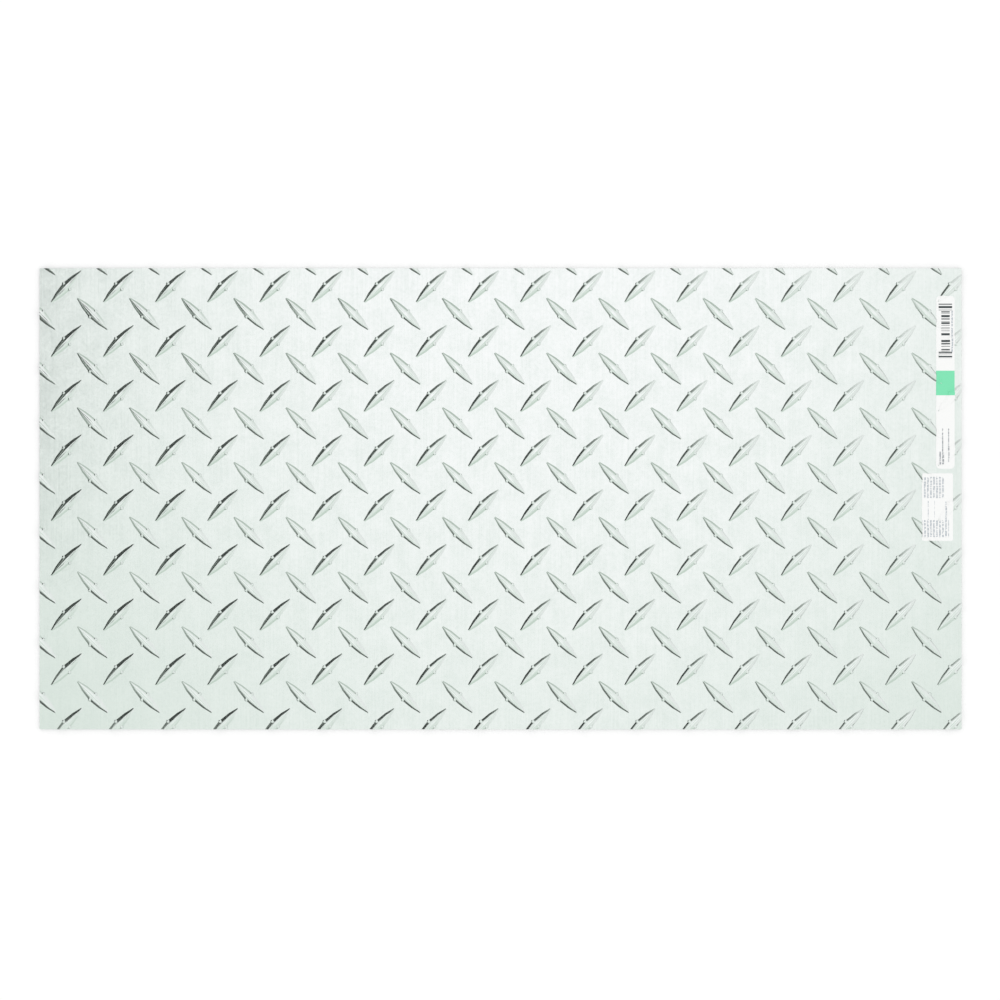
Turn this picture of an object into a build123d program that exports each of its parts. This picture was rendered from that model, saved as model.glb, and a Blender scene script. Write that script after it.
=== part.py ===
from build123d import *
import math
import os

# Sheet of rolled aluminium tread plate, millimetres: a 24 x 12 in blank of 0.063 in stock.
sheet_length = 609.6
sheet_width = 304.8
sheet_thickness = 1.6

# One raised lug: a slim diamond with slightly swollen sides and a crest that falls to its tips.
lug_length = 29.4
lug_width = 8.2
lug_height = 1.3
lug_side_swell = 0.4
lug_flank_lean = 45
lug_lean = 46
crest_length = 8.0
crest_fall = 0.5

# Rolled pattern: two interleaved grids of lugs, leaning opposite ways.
pitch_x = 34.47
pitch_y = 36.18
pattern_x = 6.0
pattern_y = 13.7

# Paper labels stuck over the lugs near the right-hand end.
paper_thickness = 0.1
long_label_length = 114.3
long_label_width = 12.2
long_label_corner = 2.6
long_label_from_end = 10.7
long_label_from_middle = 77.0
small_label_length = 44.6
small_label_width = 20.5
small_label_corner = 1.0
small_label_from_end = 15.9
small_label_from_middle = -5.5


def make_lug(cover=0.0):
    """A lug lying along X on the plane z = 0, made larger all round by a cover thickness."""
    half_length = lug_length / 2
    half_width = lug_width / 2
    swell_y = half_width / 2 + lug_side_swell
    outline = [
        (half_length, 0),
        (half_length / 2, swell_y),
        (0, half_width),
        (-half_length / 2, swell_y),
        (-half_length, 0),
        (-half_length / 2, -swell_y),
        (0, -half_width),
        (half_length / 2, -swell_y),
    ]
    with BuildPart() as lug:
        with BuildSketch():
            Polygon(*outline)
            if cover > 0:
                offset(amount=cover, kind=Kind.INTERSECTION)
        extrude(amount=lug_height + cover, taper=lug_flank_lean)
        crest_top = lug_height + cover
        with BuildSketch(Plane.XZ):
            for end in (-1, 1):
                Polygon(
                    (end * crest_length / 2, crest_top),
                    (end * lug_length, crest_top - crest_fall * (lug_length - crest_length / 2)
                     / (half_length - crest_length / 2)),
                    (end * lug_length, 2 * crest_top),
                    (end * crest_length / 2, 2 * crest_top),
                    align=None,
                )
        extrude(amount=lug_width, both=True, mode=Mode.SUBTRACT)
    return lug.part


def lug_places(way, center_x=0.0, center_y=0.0, size_x=sheet_length, size_y=sheet_width):
    """Where the lugs leaning one way stand on the sheet face, within reach of a rectangle."""
    columns = 2 * math.ceil((sheet_length / 2 + abs(pattern_x)) / pitch_x) + 3
    rows = 2 * math.ceil((sheet_width / 2 + abs(pattern_y)) / pitch_y) + 3
    first_x = pattern_x if way < 0 else pattern_x - pitch_x / 2
    first_y = pattern_y if way < 0 else pattern_y - pitch_y / 2
    reach = lug_length / 2
    places = []
    for spot in GridLocations(pitch_x, pitch_y, columns, rows):
        x = first_x + spot.position.X
        y = first_y + spot.position.Y
        if abs(x - center_x) < size_x / 2 + reach and abs(y - center_y) < size_y / 2 + reach:
            places.append(Location((x, y, sheet_thickness), (0, 0, way * lug_lean)))
    return places


def on_edge(place):
    """True for a lug that the shears cut, or nearly, when the sheet was taken from the coil."""
    return (abs(place.position.X) > (sheet_length - lug_length) / 2
            or abs(place.position.Y) > (sheet_width - lug_length) / 2)


def make_label(length, width, corner, center_x, center_y):
    """A paper label with rounded corners that follows the sheet face and the lugs under it."""
    places = [place for way in (-1, 1)
              for place in lug_places(way, center_x, center_y, width, length)]
    with BuildPart() as relief:
        with Locations((center_x, center_y, sheet_thickness)):
            Box(2 * width, 2 * length, paper_thickness,
                align=(Align.CENTER, Align.CENTER, Align.MIN))
        with Locations(*places):
            add(make_lug(paper_thickness))
    with BuildPart() as label:
        with BuildSketch(Plane.XY.offset(sheet_thickness)):
            with Locations((center_x, center_y)):
                RectangleRounded(width, length, corner)
        extrude(amount=lug_height + 2 * paper_thickness)
        add(relief.part, mode=Mode.INTERSECT)
        with Locations(*places):
            add(make_lug(), mode=Mode.SUBTRACT)
    return label.part


lug = make_lug()
edge_places = [place for way in (-1, 1) for place in lug_places(way) if on_edge(place)]
inner_places = [place for way in (-1, 1) for place in lug_places(way) if not on_edge(place)]

with BuildPart() as tread_plate:
    with Locations(*edge_places):
        add(lug)
    Box(sheet_length, sheet_width, 3 * (sheet_thickness + lug_height), mode=Mode.INTERSECT)
    Box(sheet_length, sheet_width, sheet_thickness,
        align=(Align.CENTER, Align.CENTER, Align.MIN))
    with Locations(*inner_places):
        add(lug, clean=False)

with BuildPart() as long_label:
    add(make_label(long_label_length, long_label_width, long_label_corner,
                   sheet_length / 2 - long_label_from_end, long_label_from_middle))

with BuildPart() as small_label:
    add(make_label(small_label_length, small_label_width, small_label_corner,
                   sheet_length / 2 - small_label_from_end, small_label_from_middle))

tread_plate.part.label = "tread_plate"
long_label.part.label = "long_label"
small_label.part.label = "small_label"

os.makedirs("parts", exist_ok=True)
export_step(tread_plate.part, "parts/tread_plate.step")
export_step(long_label.part, "parts/long_label.step")
export_step(small_label.part, "parts/small_label.step")
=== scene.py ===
import math

import bmesh
import bpy
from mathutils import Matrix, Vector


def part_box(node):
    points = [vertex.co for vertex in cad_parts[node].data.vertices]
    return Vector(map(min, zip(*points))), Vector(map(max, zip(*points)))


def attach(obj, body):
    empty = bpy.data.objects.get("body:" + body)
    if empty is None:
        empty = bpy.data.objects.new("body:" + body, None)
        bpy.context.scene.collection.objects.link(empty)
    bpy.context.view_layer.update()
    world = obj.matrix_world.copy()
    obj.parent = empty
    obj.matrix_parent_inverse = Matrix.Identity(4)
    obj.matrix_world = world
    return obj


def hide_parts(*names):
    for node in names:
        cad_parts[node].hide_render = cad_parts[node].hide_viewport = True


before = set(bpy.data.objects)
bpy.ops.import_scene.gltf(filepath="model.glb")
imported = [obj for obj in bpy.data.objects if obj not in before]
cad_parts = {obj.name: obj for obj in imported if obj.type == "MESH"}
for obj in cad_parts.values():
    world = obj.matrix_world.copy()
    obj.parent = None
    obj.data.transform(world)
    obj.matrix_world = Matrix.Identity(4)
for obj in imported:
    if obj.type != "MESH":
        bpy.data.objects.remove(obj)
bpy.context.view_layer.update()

MM = 0.001

# Sheet, read from the frame.
plate_low, plate_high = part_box("tread_plate")
SHEET_LENGTH = plate_high[0] - plate_low[0]
SHEET_WIDTH = plate_high[1] - plate_low[1]
SHEET_TOP = 1.6 * MM

# Raised lug, long axis along X while it is modelled. Sizes are at the root of its flanks. Its
# outline starts as a circle of a few points, and blunting ends and waist adds four, which only
# its top and bottom faces have.
LUG_START_POINTS = 8
LUG_POINTS = LUG_START_POINTS + 4
LUG_HALF_LENGTH = 14.5 * MM
LUG_HALF_WIDTH = 3.45 * MM
LUG_POINT = 2.4 * MM
LUG_SWELL_AT = 8.0 * MM
LUG_SIDE_SWELL = 0.6 * MM
LUG_WAIST_FLAT = 0.9 * MM
LUG_FILLET = (0.25 * MM, 0.09 * MM)
LUG_FLANK = (0.50 * MM, 0.72 * MM)
LUG_FLANK_SLIM = 0.82
# Shoulder and crest: how far each rises, how far its tips fall first, and what share of its
# length and width it is drawn in to.
LUG_SHOULDER_RISE = 0.36 * MM
LUG_SHOULDER_FALL = 0.26 * MM
LUG_SHOULDER_DRAW = (0.88, 0.50)
LUG_CREST_RISE = 0.05 * MM
LUG_CREST_FALL = 0.10 * MM
LUG_CREST_DRAW = (0.75, 0.5)
# What falls with the tips: share of the fall, from and to which share of the reach.
TIP_FALLS = ((1.0, 0.8, 1.1), (0.33, 0.3, 0.8))
BEAD_SIDES = 8
BEAD_RINGS = 6
BEAD_RADIUS = 1.25 * MM
BEAD_FLATTEN = 0.52
BEAD_FROM_MIDDLE = 2.65 * MM
BEAD_HEIGHT = 0.40 * MM
LUG_LEAN = math.radians(46)
LUG_BURIED = 0.3 * MM
LUG_SUNK = 0.03 * MM
# A point nearer to an axis than this is on it: on the start circle of radius 1, then on the lug.
ON_AXIS_SHARE = 0.1
ON_AXIS = 0.1 * MM

# Rolled pattern: two interleaved grids of lugs that lean opposite ways.
PITCH_X = 34.47 * MM
PITCH_Y = 36.18 * MM
PATTERN_X = 6.0 * MM
PATTERN_Y = 13.7 * MM
PATTERN_MARGIN = 20 * MM
# The blank is this much longer and wider than the sheet that is cut from it.
BLANK_SPARE = 4 * PATTERN_MARGIN
WELD = 0.002 * MM
LEVEL = 0.001 * MM
PLATE_SMOOTH_BELOW = math.radians(55)
# A face that leans up or down less than this is one of the sheared sides.
SIDE_NORMAL = 0.2

# Camera straight above with a long lens; the sheet's sides in the photograph, in pixels.
FRAME_PIXELS = 1000
SHEET_LEFT_PIXEL = 39.7
SHEET_RIGHT_PIXEL = 961.5
SHEET_MIDDLE_ROW = 498.75
LENS = 85.0
SENSOR = 36.0
VIEW_REACH = 50


def linear(hex_colour):
    """sRGB hex to linear RGBA."""
    channels = []
    for start in (1, 3, 5):
        value = int(hex_colour[start:start + 2], 16) / 255
        channels.append(value / 12.92 if value <= 0.04045 else ((value + 0.055) / 1.055) ** 2.4)
    return (*channels, 1.0)


def node(tree, kind, inputs=(), **settings):
    """Adds a node, sets its properties, and fills or links its inputs by name or number."""
    made = tree.nodes.new(kind)
    for name, value in settings.items():
        setattr(made, name, value)
    for name, value in dict(inputs).items():
        socket = made.inputs[name]
        if isinstance(value, bpy.types.NodeSocket):
            tree.links.new(value, socket)
        else:
            socket.default_value = value
    return made


def deselect_all():
    if bpy.context.object and bpy.context.object.mode != "OBJECT":
        bpy.ops.object.mode_set(mode="OBJECT")
    bpy.ops.object.select_all(action="DESELECT")


def make_active(obj):
    deselect_all()
    obj.select_set(True)
    bpy.context.view_layer.objects.active = obj


def edit(obj):
    make_active(obj)
    bpy.ops.object.mode_set(mode="EDIT")
    bpy.ops.mesh.select_mode(type="VERT")


def pick(obj, kind, test):
    """In edit mode, selects the verts, edges or faces that pass a test, and nothing else."""
    mesh = bmesh.from_edit_mesh(obj.data)
    for element in (*mesh.faces, *mesh.edges, *mesh.verts):
        element.select = False
    for element in getattr(mesh, kind):
        if test(element):
            element.select_set(True)
    bmesh.update_edit_mesh(obj.data)


def apply_modifier(obj, name, kind, **settings):
    """Adds a modifier and applies it at once."""
    make_active(obj)
    modifier = obj.modifiers.new(name, kind)
    for key, value in settings.items():
        setattr(modifier, key, value)
    bpy.ops.object.modifier_apply(modifier=name)


def settle(obj):
    """Moves an object's place, turn and scale into its mesh."""
    make_active(obj)
    bpy.ops.object.transform_apply(location=True, rotation=True, scale=True)


def duplicate(obj, name):
    """A copy of an object with its own mesh."""
    make_active(obj)
    bpy.ops.object.duplicate(linked=False)
    copy = bpy.context.object
    copy.name = name
    return copy


def lug_top(lug):
    """Selects the lug's top face, the one with every side that still looks up."""
    pick(lug, "faces", lambda face: len(face.verts) == LUG_POINTS and face.normal.z > 0)


def step_top(lug, rise, along, across):
    """Raises the lug's top face on a new ring of faces and draws it in towards the middle."""
    lug_top(lug)
    bpy.ops.mesh.extrude_region_move(TRANSFORM_OT_translate={"value": (0, 0, rise)})
    lug_top(lug)
    bpy.ops.transform.resize(value=(along, across, 1), center_override=(0, 0, 0))


def lower_tips(lug, drop):
    """Lowers the top face's two ends, and the points next to them by a third as much."""
    mesh = bmesh.from_edit_mesh(lug.data)
    top = next(face for face in mesh.faces
               if len(face.verts) == LUG_POINTS and face.normal.z > 0)
    ring = {vert.index: abs(vert.co.x) for vert in top.verts}
    reach = max(ring.values())
    for share, first, last in TIP_FALLS:
        pick(lug, "verts", lambda vert: first * reach < ring.get(vert.index, 0) < last * reach)
        bpy.ops.transform.translate(value=(0, 0, -share * drop))


def model_lug():
    """One raised diamond: a small fillet at its root, a steep flank all round, a rounded
    shoulder, a low crest that falls to both ends and a bead at each side of its waist."""
    deselect_all()
    bpy.ops.mesh.primitive_circle_add(vertices=LUG_START_POINTS, radius=1, fill_type="NGON")
    lug = bpy.context.object
    lug.name = "lug"
    edit(lug)
    # The four points between ends and waist come in to the diamond's sides, plus the swell.
    diagonal = math.sqrt(0.5)
    full_half = LUG_HALF_LENGTH + LUG_POINT
    along = LUG_SWELL_AT / full_half
    across = 1 - along + LUG_SIDE_SWELL / LUG_HALF_WIDTH
    pick(lug, "verts", lambda vert: min(abs(vert.co.x), abs(vert.co.y)) > ON_AXIS_SHARE)
    bpy.ops.transform.resize(value=(along / diagonal, across / diagonal, 1),
                             center_override=(0, 0, 0))
    bpy.ops.mesh.select_all(action="SELECT")
    bpy.ops.transform.resize(value=(full_half, LUG_HALF_WIDTH, 1), center_override=(0, 0, 0))
    # The ends and the waist are blunt.
    pick(lug, "verts", lambda vert: abs(vert.co.y) < ON_AXIS)
    bpy.ops.mesh.bevel(offset=LUG_POINT, affect="VERTICES", segments=1, clamp_overlap=False)
    pick(lug, "verts", lambda vert: abs(vert.co.x) < ON_AXIS)
    bpy.ops.mesh.bevel(offset=LUG_WAIST_FLAT, affect="VERTICES", segments=1, clamp_overlap=False)
    # Root, flank, shoulder and crest, each one ring of faces.
    bpy.ops.mesh.select_all(action="SELECT")
    bpy.ops.mesh.extrude_region_move(TRANSFORM_OT_translate={"value": (0, 0, LUG_BURIED)})
    for width, rise in (LUG_FILLET, LUG_FLANK):
        lug_top(lug)
        bpy.ops.mesh.inset(thickness=width, depth=rise)
    lug_top(lug)
    bpy.ops.transform.resize(value=(1, LUG_FLANK_SLIM, 1), center_override=(0, 0, 0))
    lower_tips(lug, LUG_SHOULDER_FALL)
    step_top(lug, LUG_SHOULDER_RISE, *LUG_SHOULDER_DRAW)
    lower_tips(lug, LUG_CREST_FALL)
    step_top(lug, LUG_CREST_RISE, *LUG_CREST_DRAW)
    lug_top(lug)
    bpy.ops.mesh.poke()
    bpy.ops.mesh.select_all(action="SELECT")
    bpy.ops.mesh.normals_make_consistent(inside=False)
    bpy.ops.object.mode_set(mode="OBJECT")
    # A small round bead stands at each side of the waist.
    for side in (-1, 1):
        deselect_all()
        bpy.ops.mesh.primitive_uv_sphere_add(segments=BEAD_SIDES, ring_count=BEAD_RINGS,
                                             radius=BEAD_RADIUS)
        bead = bpy.context.object
        bead.scale.z = BEAD_FLATTEN
        bead.location = (0, side * BEAD_FROM_MIDDLE, LUG_BURIED + BEAD_HEIGHT)
        settle(bead)
        apply_modifier(lug, "bead", "BOOLEAN", operation="UNION", solver="EXACT", object=bead)
        bpy.data.objects.remove(bead)
    # Its foot sinks below the sheet's face, so that the face cuts through the fillet.
    lug.location.z = SHEET_TOP - LUG_BURIED - LUG_SUNK
    settle(lug)
    return lug


def lug_grid(lug, name, way, x, y):
    """All lugs that lean one way, on a grid that passes through x, y."""
    grid = duplicate(lug, name)
    columns = 2 * math.ceil((SHEET_LENGTH / 2 + PATTERN_MARGIN) / PITCH_X) + 1
    rows = 2 * math.ceil((SHEET_WIDTH / 2 + PATTERN_MARGIN) / PITCH_Y) + 1
    grid.rotation_euler.z = way * LUG_LEAN
    grid.location.x = x - (columns - 1) / 2 * PITCH_X
    grid.location.y = y - (rows - 1) / 2 * PITCH_Y
    settle(grid)
    apply_modifier(grid, "columns", "ARRAY", count=columns, use_relative_offset=False,
                   use_constant_offset=True, constant_offset_displace=(PITCH_X, 0, 0))
    apply_modifier(grid, "rows", "ARRAY", count=rows, use_relative_offset=False,
                   use_constant_offset=True, constant_offset_displace=(0, PITCH_Y, 0))
    return grid


def model_plate():
    """The sheet and its lugs as one closed body, cut to size through lugs and sheet alike."""
    deselect_all()
    bpy.ops.mesh.primitive_cube_add(size=1, location=(0, 0, SHEET_TOP / 2))
    plate = bpy.context.object
    plate.name = "rolled_plate"
    plate.scale = (SHEET_LENGTH + BLANK_SPARE, SHEET_WIDTH + BLANK_SPARE, SHEET_TOP)
    settle(plate)
    lug = model_lug()
    grids = (lug_grid(lug, "lugs_leaning_right", 1,
                      PATTERN_X - PITCH_X / 2, PATTERN_Y - PITCH_Y / 2),
             lug_grid(lug, "lugs_leaning_left", -1, PATTERN_X, PATTERN_Y))
    for grid in grids:
        apply_modifier(plate, "rolled in", "BOOLEAN", operation="UNION", solver="EXACT",
                       object=grid)
    for spent in (lug, *grids):
        bpy.data.objects.remove(spent)
    edit(plate)
    for x, y in ((1, 0), (-1, 0), (0, 1), (0, -1)):
        bpy.ops.mesh.select_all(action="SELECT")
        bpy.ops.mesh.bisect(plane_co=(x * SHEET_LENGTH / 2, y * SHEET_WIDTH / 2, 0),
                            plane_no=(x, y, 0), use_fill=True, clear_outer=True)
    bpy.ops.mesh.select_all(action="SELECT")
    bpy.ops.mesh.remove_doubles(threshold=WELD)
    bpy.ops.mesh.normals_make_consistent(inside=False)
    bpy.ops.object.mode_set(mode="OBJECT")
    bpy.ops.object.shade_smooth_by_angle(angle=PLATE_SMOOTH_BELOW)
    # The face between the lugs stays flat up to each lug's foot.
    edit(plate)
    pick(plate, "edges",
         lambda edge: all(abs(vert.co.z - SHEET_TOP) < LEVEL for vert in edge.verts))
    bpy.ops.mesh.mark_sharp()
    bpy.ops.object.mode_set(mode="OBJECT")
    apply_modifier(plate, "broad faces lead", "WEIGHTED_NORMAL", mode="FACE_AREA", weight=50,
                   keep_sharp=True)
    return plate


# Paper labels. Their places and sizes are read from the frame.
PAPER_THICKNESS = 0.1 * MM
PAPER_LIFT = 0.07 * MM
PAPER_GRID = 1.5 * MM
PAPER_SMOOTH_BELOW = math.radians(40)
CORNER_SEGMENTS = 5
# Pressing down: how often the paper is evened out and kept off the metal, and how strongly.
PRESSES = 3
EVENING = 0.5
EVENINGS = 12
LONG_LABEL_CORNER = 2.6 * MM
SMALL_LABEL_CORNER = 1.0 * MM


def model_label(name, cad_node, corner, plate):
    """A paper label pressed onto the plate: flat between the lugs, tented where it climbs one."""
    low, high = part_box(cad_node)
    deselect_all()
    bpy.ops.mesh.primitive_plane_add(size=1)
    label = bpy.context.object
    label.name = name
    label.scale = (high[0] - low[0], high[1] - low[1], 1)
    # It starts well above the plate, and is pressed down onto it once it is fine enough.
    label.location = ((low[0] + high[0]) / 2, (low[1] + high[1]) / 2, 2 * high[2])
    settle(label)
    edit(label)
    bpy.ops.mesh.select_all(action="SELECT")
    bpy.ops.mesh.bevel(offset=corner, affect="VERTICES", segments=CORNER_SEGMENTS)
    for axis, span in ((0, high[0] - low[0]), (1, high[1] - low[1])):
        cuts = round(span / PAPER_GRID)
        direction = [0, 0, 0]
        direction[axis] = 1
        for cut in range(1, cuts):
            place = [0, 0, 0]
            place[axis] = low[axis] + span * cut / cuts
            bpy.ops.mesh.select_all(action="SELECT")
            bpy.ops.mesh.bisect(plane_co=place, plane_no=direction)
    bpy.ops.object.mode_set(mode="OBJECT")
    apply_modifier(label, "finer", "SUBSURF", subdivision_type="SIMPLE", levels=2, render_levels=2)
    apply_modifier(label, "pressed down", "SHRINKWRAP", target=plate, wrap_method="PROJECT",
                   use_project_z=True, use_negative_direction=True,
                   use_positive_direction=False, offset=PAPER_LIFT)
    for _ in range(PRESSES):
        apply_modifier(label, "tented", "SMOOTH", factor=EVENING, iterations=EVENINGS,
                       use_x=False, use_y=False)
        apply_modifier(label, "kept outside", "SHRINKWRAP", target=plate,
                       wrap_method="NEAREST_SURFACEPOINT", wrap_mode="OUTSIDE_SURFACE",
                       offset=PAPER_LIFT)
    apply_modifier(label, "paper", "SOLIDIFY", thickness=PAPER_THICKNESS, offset=1)
    make_active(label)
    bpy.ops.object.shade_smooth_by_angle(angle=PAPER_SMOOTH_BELOW)
    return label


# Unevenness of the rolled face: broad clouding, grain along the rolls, and a fine peel. The real
# grain is some hundredths of a millimetre wide, too fine to show, so it is drawn coarser.
CLOUDING_SIZE = 14 * MM
GRAIN_WIDTH = 0.9 * MM
GRAIN_LENGTH = 60 * MM
GRAIN_HEIGHT = 0.01 * MM
PEEL_SIZE = 2.2 * MM
UNEVEN_RANGE = (1.1, 1.9)

# Blade scores on the sheared sides.
SCORE_SPACING = 0.4 * MM
SCORE_LENGTH = 3.0 * MM
SCORE_DEPTH = 0.03 * MM

# Paper fibre and print on the labels. Each edge gives the noise or wave at which ink starts and
# is full, and each box its low x, high x, low y and high y in millimetres.
FIBRE_SIZE = 0.8 * MM
FIBRE_HEIGHT = 0.01 * MM
BAR_SPACING = 1.5 * MM
BAR_EDGE = (0.50, 0.52)
ROW_PITCH = 2.0 * MM
ROW_EDGE = (-0.5, 0.1)
MARK_HEIGHT = 2.0 * MM
MARK_LENGTH = 0.7 * MM
MARK_EDGE = (0.42, 0.50)
BAR_INK = "#3C4447"
BAR_BOXES = (
    (291.4, 297.0, 92.7, 130.0),
    (289.6, 298.6, 124.4, 130.0),
    (289.6, 298.6, 92.7, 97.2),
)
MINT_INK = "#7DE3B3"
MINT_BOXES = ((280.0, 310.0, 68.4, 84.7),)
DARK_MARK_INK = "#8D9299"
DARK_MARK_BOXES = (
    (290.2, 293.6, 22.4, 31.1),
    (291.7, 292.7, 31.1, 46.4),
    (295.4, 296.6, 24.5, 46.4),
)
PALE_MARK_INK = "#B9C0C6"
PALE_MARK_BOXES = (
    (298.0, 299.6, 97.2, 124.4),
    (279.3, 293.1, 0.4, 14.5),
    (282.5, 283.5, -14.1, -1.5),
    (286.8, 287.8, -14.1, -1.5),
    (294.0, 295.0, -14.1, -1.5),
    (278.9, 296.5, -25.4, -14.1),
)


def rolled_aluminium():
    """Mill-finish 3003 aluminium, bright from the rolls: a clean metal mirror made soft by fine
    grain along the rolling direction and by faint clouding where the lugs were pressed up."""
    material = bpy.data.materials.new("rolled aluminium, mill finish")
    material.use_nodes = True
    tree = material.node_tree
    shader = tree.nodes["Principled BSDF"]
    place = node(tree, "ShaderNodeTexCoord").outputs["Object"]
    clouding = node(tree, "ShaderNodeTexNoise", {"Vector": place, "Scale": 1 / CLOUDING_SIZE,
                                                 "Detail": 3.0, "Roughness": 0.55})
    grain_place = node(tree, "ShaderNodeMapping",
                       {"Vector": place, "Scale": (1 / GRAIN_WIDTH, 1 / GRAIN_LENGTH, 1)})
    grain = node(tree, "ShaderNodeTexNoise", {"Vector": grain_place.outputs["Vector"],
                                              "Scale": 1.0, "Detail": 2.0, "Roughness": 0.6})
    peel = node(tree, "ShaderNodeTexNoise", {"Vector": place, "Scale": 1 / PEEL_SIZE,
                                             "Detail": 2.0, "Roughness": 0.6})
    mixed = node(tree, "ShaderNodeMath", {0: clouding.outputs["Fac"], 1: grain.outputs["Fac"]},
                 operation="ADD")
    mixed = node(tree, "ShaderNodeMath", {0: mixed.outputs[0], 1: peel.outputs["Fac"]},
                 operation="ADD")
    smooth, uneven = UNEVEN_RANGE
    tone = node(tree, "ShaderNodeMapRange", {"Value": mixed.outputs[0], "From Min": smooth,
                                             "From Max": uneven})
    colour = node(tree, "ShaderNodeMix", {"Factor": tone.outputs["Result"],
                                          "A": linear("#F3F6F6"), "B": linear("#FAFBFC")},
                  data_type="RGBA")
    rough = node(tree, "ShaderNodeMapRange", {"Value": mixed.outputs[0], "From Min": smooth,
                                              "From Max": uneven, "To Min": 0.26,
                                              "To Max": 0.17})
    bump = node(tree, "ShaderNodeBump", {"Height": grain.outputs["Fac"], "Strength": 0.15,
                                         "Distance": GRAIN_HEIGHT})
    tree.links.new(colour.outputs["Result"], shader.inputs["Base Color"])
    tree.links.new(rough.outputs["Result"], shader.inputs["Roughness"])
    tree.links.new(bump.outputs["Normal"], shader.inputs["Normal"])
    shader.inputs["Metallic"].default_value = 1.0
    return material


def sheared_aluminium():
    """The cut sides of the same aluminium, sheared: duller, with fine scores from the blade that
    run straight through the thickness."""
    material = bpy.data.materials.new("aluminium, sheared edge")
    material.use_nodes = True
    tree = material.node_tree
    shader = tree.nodes["Principled BSDF"]
    place = node(tree, "ShaderNodeTexCoord").outputs["Object"]
    score_place = node(tree, "ShaderNodeMapping",
                       {"Vector": place, "Scale": (1 / SCORE_SPACING, 1 / SCORE_SPACING,
                                                   1 / SCORE_LENGTH)})
    scores = node(tree, "ShaderNodeTexNoise", {"Vector": score_place.outputs["Vector"],
                                               "Scale": 1.0, "Detail": 3.0, "Roughness": 0.6})
    colour = node(tree, "ShaderNodeMix", {"Factor": scores.outputs["Fac"],
                                          "A": linear("#CDD1D0"), "B": linear("#E6E9E8")},
                  data_type="RGBA")
    rough = node(tree, "ShaderNodeMapRange", {"Value": scores.outputs["Fac"], "To Min": 0.55,
                                              "To Max": 0.38})
    bump = node(tree, "ShaderNodeBump", {"Height": scores.outputs["Fac"], "Strength": 0.6,
                                         "Distance": SCORE_DEPTH})
    tree.links.new(colour.outputs["Result"], shader.inputs["Base Color"])
    tree.links.new(rough.outputs["Result"], shader.inputs["Roughness"])
    tree.links.new(bump.outputs["Normal"], shader.inputs["Normal"])
    shader.inputs["Metallic"].default_value = 1.0
    return material


def within(tree, split, low_x, high_x, low_y, high_y):
    """1 inside a rectangle given in millimetres, 0 outside it."""
    sides = [node(tree, "ShaderNodeMath", {0: split.outputs[axis], 1: (low + high) / 2 * MM,
                                           2: (high - low) / 2 * MM}, operation="COMPARE")
             for axis, low, high in (("X", low_x, high_x), ("Y", low_y, high_y))]
    return node(tree, "ShaderNodeMath", {0: sides[0].outputs[0], 1: sides[1].outputs[0]},
                operation="MULTIPLY").outputs[0]


def printed(tree, under, ink, boxes, marks, split):
    """Prints marks, or a solid field where there are none, in an ink inside the boxes."""
    area = None
    for box in boxes:
        inside = within(tree, split, *box)
        area = inside if area is None else node(tree, "ShaderNodeMath", {0: area, 1: inside},
                                                operation="MAXIMUM").outputs[0]
    if marks is not None:
        area = node(tree, "ShaderNodeMath", {0: area, 1: marks}, operation="MULTIPLY").outputs[0]
    return node(tree, "ShaderNodeMix", {"Factor": area, "A": under, "B": linear(ink)},
                data_type="RGBA").outputs["Result"]


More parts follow.
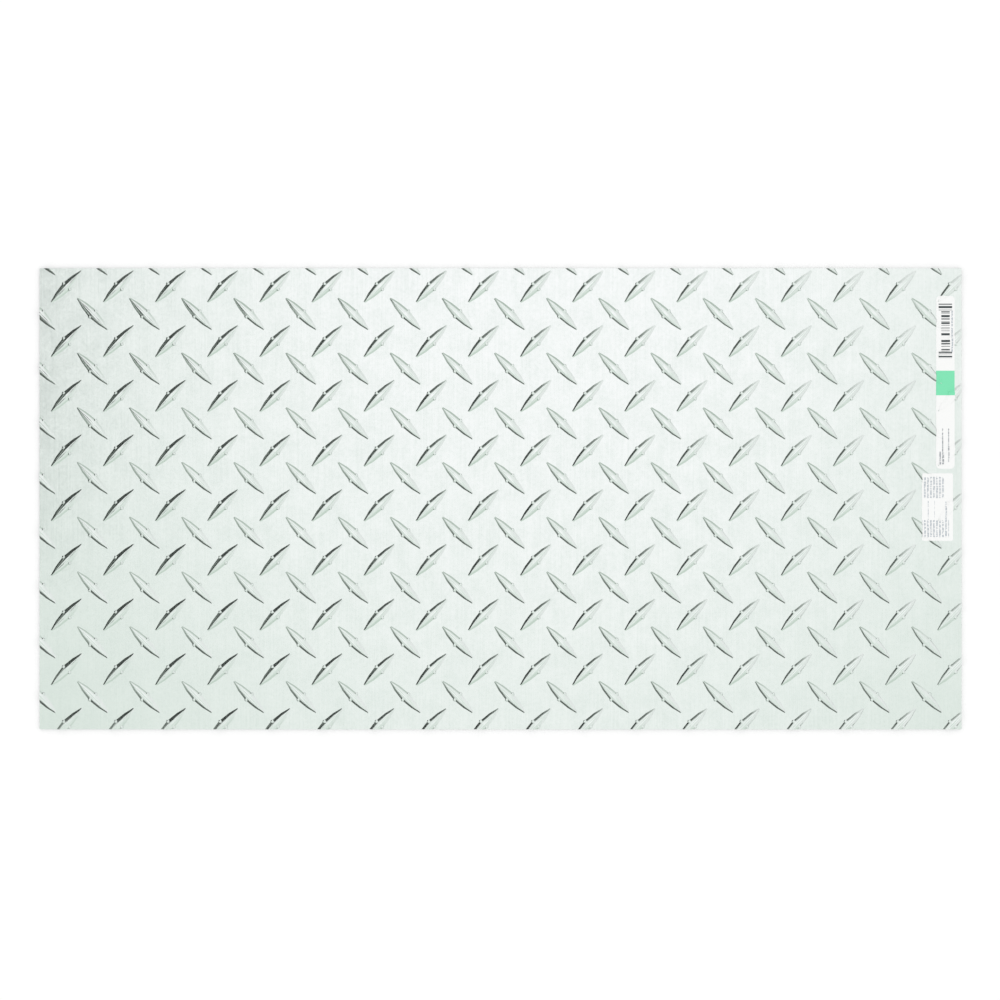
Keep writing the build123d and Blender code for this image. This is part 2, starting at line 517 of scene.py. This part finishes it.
def label_paper():
    """Coated white label paper, offset printed: matt white with a faint fibre, one mint field,
    a block of plain bars and rows of grey marks too small to read."""
    material = bpy.data.materials.new("coated label paper, printed")
    material.use_nodes = True
    tree = material.node_tree
    shader = tree.nodes["Principled BSDF"]
    place = node(tree, "ShaderNodeTexCoord").outputs["Object"]
    split = node(tree, "ShaderNodeSeparateXYZ", {0: place})
    fibre = node(tree, "ShaderNodeTexNoise", {"Vector": place, "Scale": 1 / FIBRE_SIZE,
                                              "Detail": 4.0, "Roughness": 0.7})
    colour = node(tree, "ShaderNodeMix", {"Factor": fibre.outputs["Fac"],
                                          "A": linear("#F3F4F3"), "B": linear("#FAFAF9")},
                  data_type="RGBA").outputs["Result"]
    bar_noise = node(tree, "ShaderNodeTexNoise", {"W": split.outputs["Y"],
                                                  "Scale": 1 / BAR_SPACING, "Detail": 1.0},
                     noise_dimensions="1D")
    bars = node(tree, "ShaderNodeMapRange", {"Value": bar_noise.outputs["Fac"],
                                             "From Min": BAR_EDGE[0], "From Max": BAR_EDGE[1]})
    mark_place = node(tree, "ShaderNodeMapping", {"Vector": place,
                                                  "Scale": (1 / MARK_HEIGHT, 1 / MARK_LENGTH, 0)})
    mark_noise = node(tree, "ShaderNodeTexNoise", {"Vector": mark_place.outputs["Vector"],
                                                   "Scale": 1.0, "Detail": 1.0})
    row_turn = node(tree, "ShaderNodeMath", {0: split.outputs["X"], 1: math.tau / ROW_PITCH},
                    operation="MULTIPLY")
    row_wave = node(tree, "ShaderNodeMath", {0: row_turn.outputs[0]}, operation="SINE")
    row = node(tree, "ShaderNodeMapRange", {"Value": row_wave.outputs[0],
                                            "From Min": ROW_EDGE[0], "From Max": ROW_EDGE[1]})
    speckle = node(tree, "ShaderNodeMapRange", {"Value": mark_noise.outputs["Fac"],
                                                "From Min": MARK_EDGE[0],
                                                "From Max": MARK_EDGE[1]})
    marks = node(tree, "ShaderNodeMath", {0: row.outputs["Result"],
                                          1: speckle.outputs["Result"]}, operation="MULTIPLY")
    for ink, boxes, pattern in ((BAR_INK, BAR_BOXES, bars.outputs["Result"]),
                                (MINT_INK, MINT_BOXES, None),
                                (DARK_MARK_INK, DARK_MARK_BOXES, marks.outputs[0]),
                                (PALE_MARK_INK, PALE_MARK_BOXES, marks.outputs[0])):
        colour = printed(tree, colour, ink, boxes, pattern, split)
    bump = node(tree, "ShaderNodeBump", {"Height": fibre.outputs["Fac"], "Strength": 0.2,
                                         "Distance": FIBRE_HEIGHT})
    rough = node(tree, "ShaderNodeMapRange", {"Value": fibre.outputs["Fac"], "To Min": 0.62,
                                              "To Max": 0.5})
    tree.links.new(colour, shader.inputs["Base Color"])
    tree.links.new(rough.outputs["Result"], shader.inputs["Roughness"])
    tree.links.new(bump.outputs["Normal"], shader.inputs["Normal"])
    return material


# Studio: a white floor and surround, and two dark cards that stand upright to the left, where
# the lugs mirror them. Each card has its lowest and highest edge.
FLOOR_SIZE = 6.0
FLOOR_GLOW = 0.10
SCREEN_X = -0.47
SCREEN_LOW_Y = -0.03
SCREEN_HIGH_Y = 0.45
SCREEN_HEIGHTS = ((0.0, 0.08), (0.17, 0.58))


def studio_floor():
    deselect_all()
    bpy.ops.mesh.primitive_plane_add(size=FLOOR_SIZE)
    floor = bpy.context.object
    floor.name = "studio_floor"
    material = bpy.data.materials.new("white paper sweep")
    material.use_nodes = True
    tree = material.node_tree
    tree.nodes.remove(tree.nodes["Principled BSDF"])
    rays = node(tree, "ShaderNodeLightPath")
    seen = node(tree, "ShaderNodeMath", {0: rays.outputs["Is Camera Ray"],
                                         1: rays.outputs["Is Glossy Ray"]}, operation="MAXIMUM")
    lit = node(tree, "ShaderNodeBsdfDiffuse", {"Color": linear("#F2F2F2")})
    glow = node(tree, "ShaderNodeEmission", {"Color": (1, 1, 1, 1), "Strength": FLOOR_GLOW})
    dark = node(tree, "ShaderNodeEmission", {"Color": (0, 0, 0, 1), "Strength": 0.0})
    extra = node(tree, "ShaderNodeMixShader", {0: seen.outputs[0], 1: dark.outputs[0],
                                               2: glow.outputs[0]})
    both = node(tree, "ShaderNodeAddShader", {0: lit.outputs[0], 1: extra.outputs[0]})
    tree.links.new(both.outputs[0], tree.nodes["Material Output"].inputs["Surface"])
    floor.data.materials.append(material)


def dark_screens():
    """Two black cards to the left, a low strip and a raised one."""
    material = bpy.data.materials.new("dark studio card")
    material.use_nodes = True
    shader = material.node_tree.nodes["Principled BSDF"]
    shader.inputs["Base Color"].default_value = linear("#1C241F")
    shader.inputs["Roughness"].default_value = 0.9
    for low, high in SCREEN_HEIGHTS:
        deselect_all()
        bpy.ops.mesh.primitive_plane_add(size=1, rotation=(0, math.radians(90), 0))
        screen = bpy.context.object
        screen.name = "dark_card"
        screen.scale = (high - low, SCREEN_HIGH_Y - SCREEN_LOW_Y, 1)
        screen.location = (SCREEN_X, (SCREEN_LOW_Y + SCREEN_HIGH_Y) / 2, (low + high) / 2)
        settle(screen)
        screen.data.materials.append(material)
        screen.visible_camera = False
        screen.visible_diffuse = False


# The surround: a white tent, dim low down on some sides. Each dim patch has its direction in
# degrees from +X, its half-width in degrees, the share of light it takes away, and the heights
# in degrees above the horizon up to which it is full and where it ends.
DIM_PATCHES = (
    (151, 37, 0.74, 28, 44),
    (168, 17, 0.96, 36, 52),
    (133, 18, 0.94, 38, 54),
    (200, 34, 0.56, 26, 42),
    (238, 31, 0.90, 30, 46),
    (62, 22, 0.50, 30, 46),
    (299, 23, 0.34, 34, 62),
    (2, 46, 0.85, 6, 14),
)
DIM_EDGE = 9
# A faint dim band all round, up to the height where it ends.
BAND_DEPTH = 0.17
BAND_FULL_TO = 56
BAND_CLEAR_FROM = 73
# Overhead the light falls off along an axis, from a start to an end, by a share. The directions
# are those of a unit sphere, and so is the height at which the fall begins and is full.
OVERHEAD_FALLS = (
    ("X", -0.03, -0.26, 0.16),
    ("Y", 0.08, -0.24, 0.18),
    ("X", 0.08, 0.30, 0.17),
)
OVERHEAD_FROM = 0.7
OVERHEAD_FULL = 0.9
# What is dim is also a little green, fully so from this share on, and the band less than the rest.
GREEN_FROM = 0.3
GREEN_TINT = "#EEFFF1"
BAND_GREEN = 0.45
SURROUND_LEVEL = 1.04


def studio_surround():
    """Soft white surround, dimmer low down on the sides that the flanks mirror dark."""
    world = bpy.data.worlds.new("soft studio surround")
    bpy.context.scene.world = world
    world.use_nodes = True
    world.cycles.sampling_method = "NONE"
    tree = world.node_tree
    place = node(tree, "ShaderNodeTexCoord").outputs["Generated"]
    split = node(tree, "ShaderNodeSeparateXYZ", {0: place})
    flat = node(tree, "ShaderNodeCombineXYZ",
                {0: split.outputs["X"], 1: split.outputs["Y"], 2: 0.0})
    level_way = node(tree, "ShaderNodeVectorMath", {0: flat.outputs[0]}, operation="NORMALIZE")
    band = node(tree, "ShaderNodeMapRange",
                {"Value": split.outputs["Z"],
                 "From Min": math.sin(math.radians(BAND_FULL_TO)),
                 "From Max": math.sin(math.radians(BAND_CLEAR_FROM)),
                 "To Min": BAND_DEPTH, "To Max": 0.0}, interpolation_type="SMOOTHSTEP")
    patches = None
    for turn, radius, depth, full_to, clear_from in DIM_PATCHES:
        toward = (math.cos(math.radians(turn)), math.sin(math.radians(turn)), 0)
        facing = node(tree, "ShaderNodeVectorMath", {0: level_way.outputs[0], 1: toward},
                      operation="DOT_PRODUCT")
        sector = node(tree, "ShaderNodeMapRange",
                      {"Value": facing.outputs["Value"],
                       "From Min": math.cos(math.radians(radius)),
                       "From Max": math.cos(math.radians(radius - DIM_EDGE)),
                       "To Max": depth}, interpolation_type="SMOOTHSTEP")
        low_down = node(tree, "ShaderNodeMapRange",
                        {"Value": split.outputs["Z"],
                         "From Min": math.sin(math.radians(full_to)),
                         "From Max": math.sin(math.radians(clear_from)),
                         "To Min": 1.0, "To Max": 0.0}, interpolation_type="SMOOTHSTEP")
        patch = node(tree, "ShaderNodeMath", {0: sector.outputs["Result"],
                                              1: low_down.outputs["Result"]},
                     operation="MULTIPLY")
        patches = patch if patches is None else node(
            tree, "ShaderNodeMath", {0: patches.outputs[0], 1: patch.outputs[0]},
            operation="MAXIMUM")
    fall = None
    for axis, start, end, depth in OVERHEAD_FALLS:
        part = node(tree, "ShaderNodeMapRange", {"Value": split.outputs[axis], "From Min": start,
                                                 "From Max": end, "To Max": depth},
                    interpolation_type="SMOOTHSTEP")
        fall = part.outputs["Result"] if fall is None else node(
            tree, "ShaderNodeMath", {0: fall, 1: part.outputs["Result"]},
            operation="ADD").outputs[0]
    overhead = node(tree, "ShaderNodeMapRange",
                    {"Value": split.outputs["Z"], "From Min": OVERHEAD_FROM,
                     "From Max": OVERHEAD_FULL}, interpolation_type="SMOOTHSTEP")
    fallen = node(tree, "ShaderNodeMath", {0: fall, 1: overhead.outputs[0]}, operation="MULTIPLY")
    greened = node(tree, "ShaderNodeMath", {0: fallen.outputs[0], 1: patches.outputs[0]},
                   operation="MAXIMUM")
    lost = node(tree, "ShaderNodeMath", {0: greened.outputs[0], 1: band.outputs["Result"]},
                operation="MAXIMUM")
    rays = node(tree, "ShaderNodeLightPath")
    mirrored = node(tree, "ShaderNodeMath", {0: lost.outputs[0], 1: rays.outputs["Is Glossy Ray"]},
                    operation="MULTIPLY")
    green_band = node(tree, "ShaderNodeMath", {0: band.outputs["Result"], 1: BAND_GREEN},
                      operation="MULTIPLY")
    all_green = node(tree, "ShaderNodeMath", {0: greened.outputs[0], 1: green_band.outputs[0]},
                     operation="MAXIMUM")
    mirrored_green = node(tree, "ShaderNodeMath",
                          {0: all_green.outputs[0], 1: rays.outputs["Is Glossy Ray"]},
                          operation="MULTIPLY")
    shown = node(tree, "ShaderNodeMath", {0: 1.0, 1: mirrored.outputs[0]}, operation="SUBTRACT")
    lit = node(tree, "ShaderNodeMath", {0: shown.outputs[0], 1: SURROUND_LEVEL},
               operation="MULTIPLY")
    tint = node(tree, "ShaderNodeMapRange", {"Value": mirrored_green.outputs[0],
                                             "From Max": GREEN_FROM})
    colour = node(tree, "ShaderNodeMix", {"Factor": tint.outputs["Result"],
                                          "A": (1, 1, 1, 1), "B": linear(GREEN_TINT)},
                  data_type="RGBA")
    background = tree.nodes["Background"]
    tree.links.new(lit.outputs[0], background.inputs["Strength"])
    tree.links.new(colour.outputs["Result"], background.inputs["Color"])


def camera_above():
    metres_per_pixel = SHEET_LENGTH / (SHEET_RIGHT_PIXEL - SHEET_LEFT_PIXEL)
    distance = FRAME_PIXELS * metres_per_pixel * LENS / SENSOR
    sheet_middle_column = (SHEET_LEFT_PIXEL + SHEET_RIGHT_PIXEL) / 2
    data = bpy.data.cameras.new("camera")
    data.lens = LENS
    data.sensor_width = SENSOR
    data.clip_end = VIEW_REACH
    camera = bpy.data.objects.new("camera", data)
    camera.location = ((FRAME_PIXELS / 2 - sheet_middle_column) * metres_per_pixel,
                       (SHEET_MIDDLE_ROW - FRAME_PIXELS / 2) * metres_per_pixel,
                       SHEET_TOP + distance)
    bpy.context.scene.collection.objects.link(camera)
    bpy.context.scene.camera = camera


camera_above()
studio_floor()
dark_screens()
studio_surround()
bpy.context.scene.view_settings.view_transform = "Standard"

plate = model_plate()
plate.data.materials.append(rolled_aluminium())
plate.data.materials.append(sheared_aluminium())
edit(plate)
pick(plate, "faces", lambda face: abs(face.normal.z) < SIDE_NORMAL)
plate.active_material_index = 1
bpy.ops.object.material_slot_assign()
bpy.ops.object.mode_set(mode="OBJECT")
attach(plate, "root")
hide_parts("tread_plate")

paper = label_paper()
for name, cad_node, corner in (("long_paper_label", "long_label", LONG_LABEL_CORNER),
                               ("small_paper_label", "small_label", SMALL_LABEL_CORNER)):
    label = model_label(name, cad_node, corner, plate)
    label.data.materials.append(paper)
    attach(label, "root")
    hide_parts(cad_node)
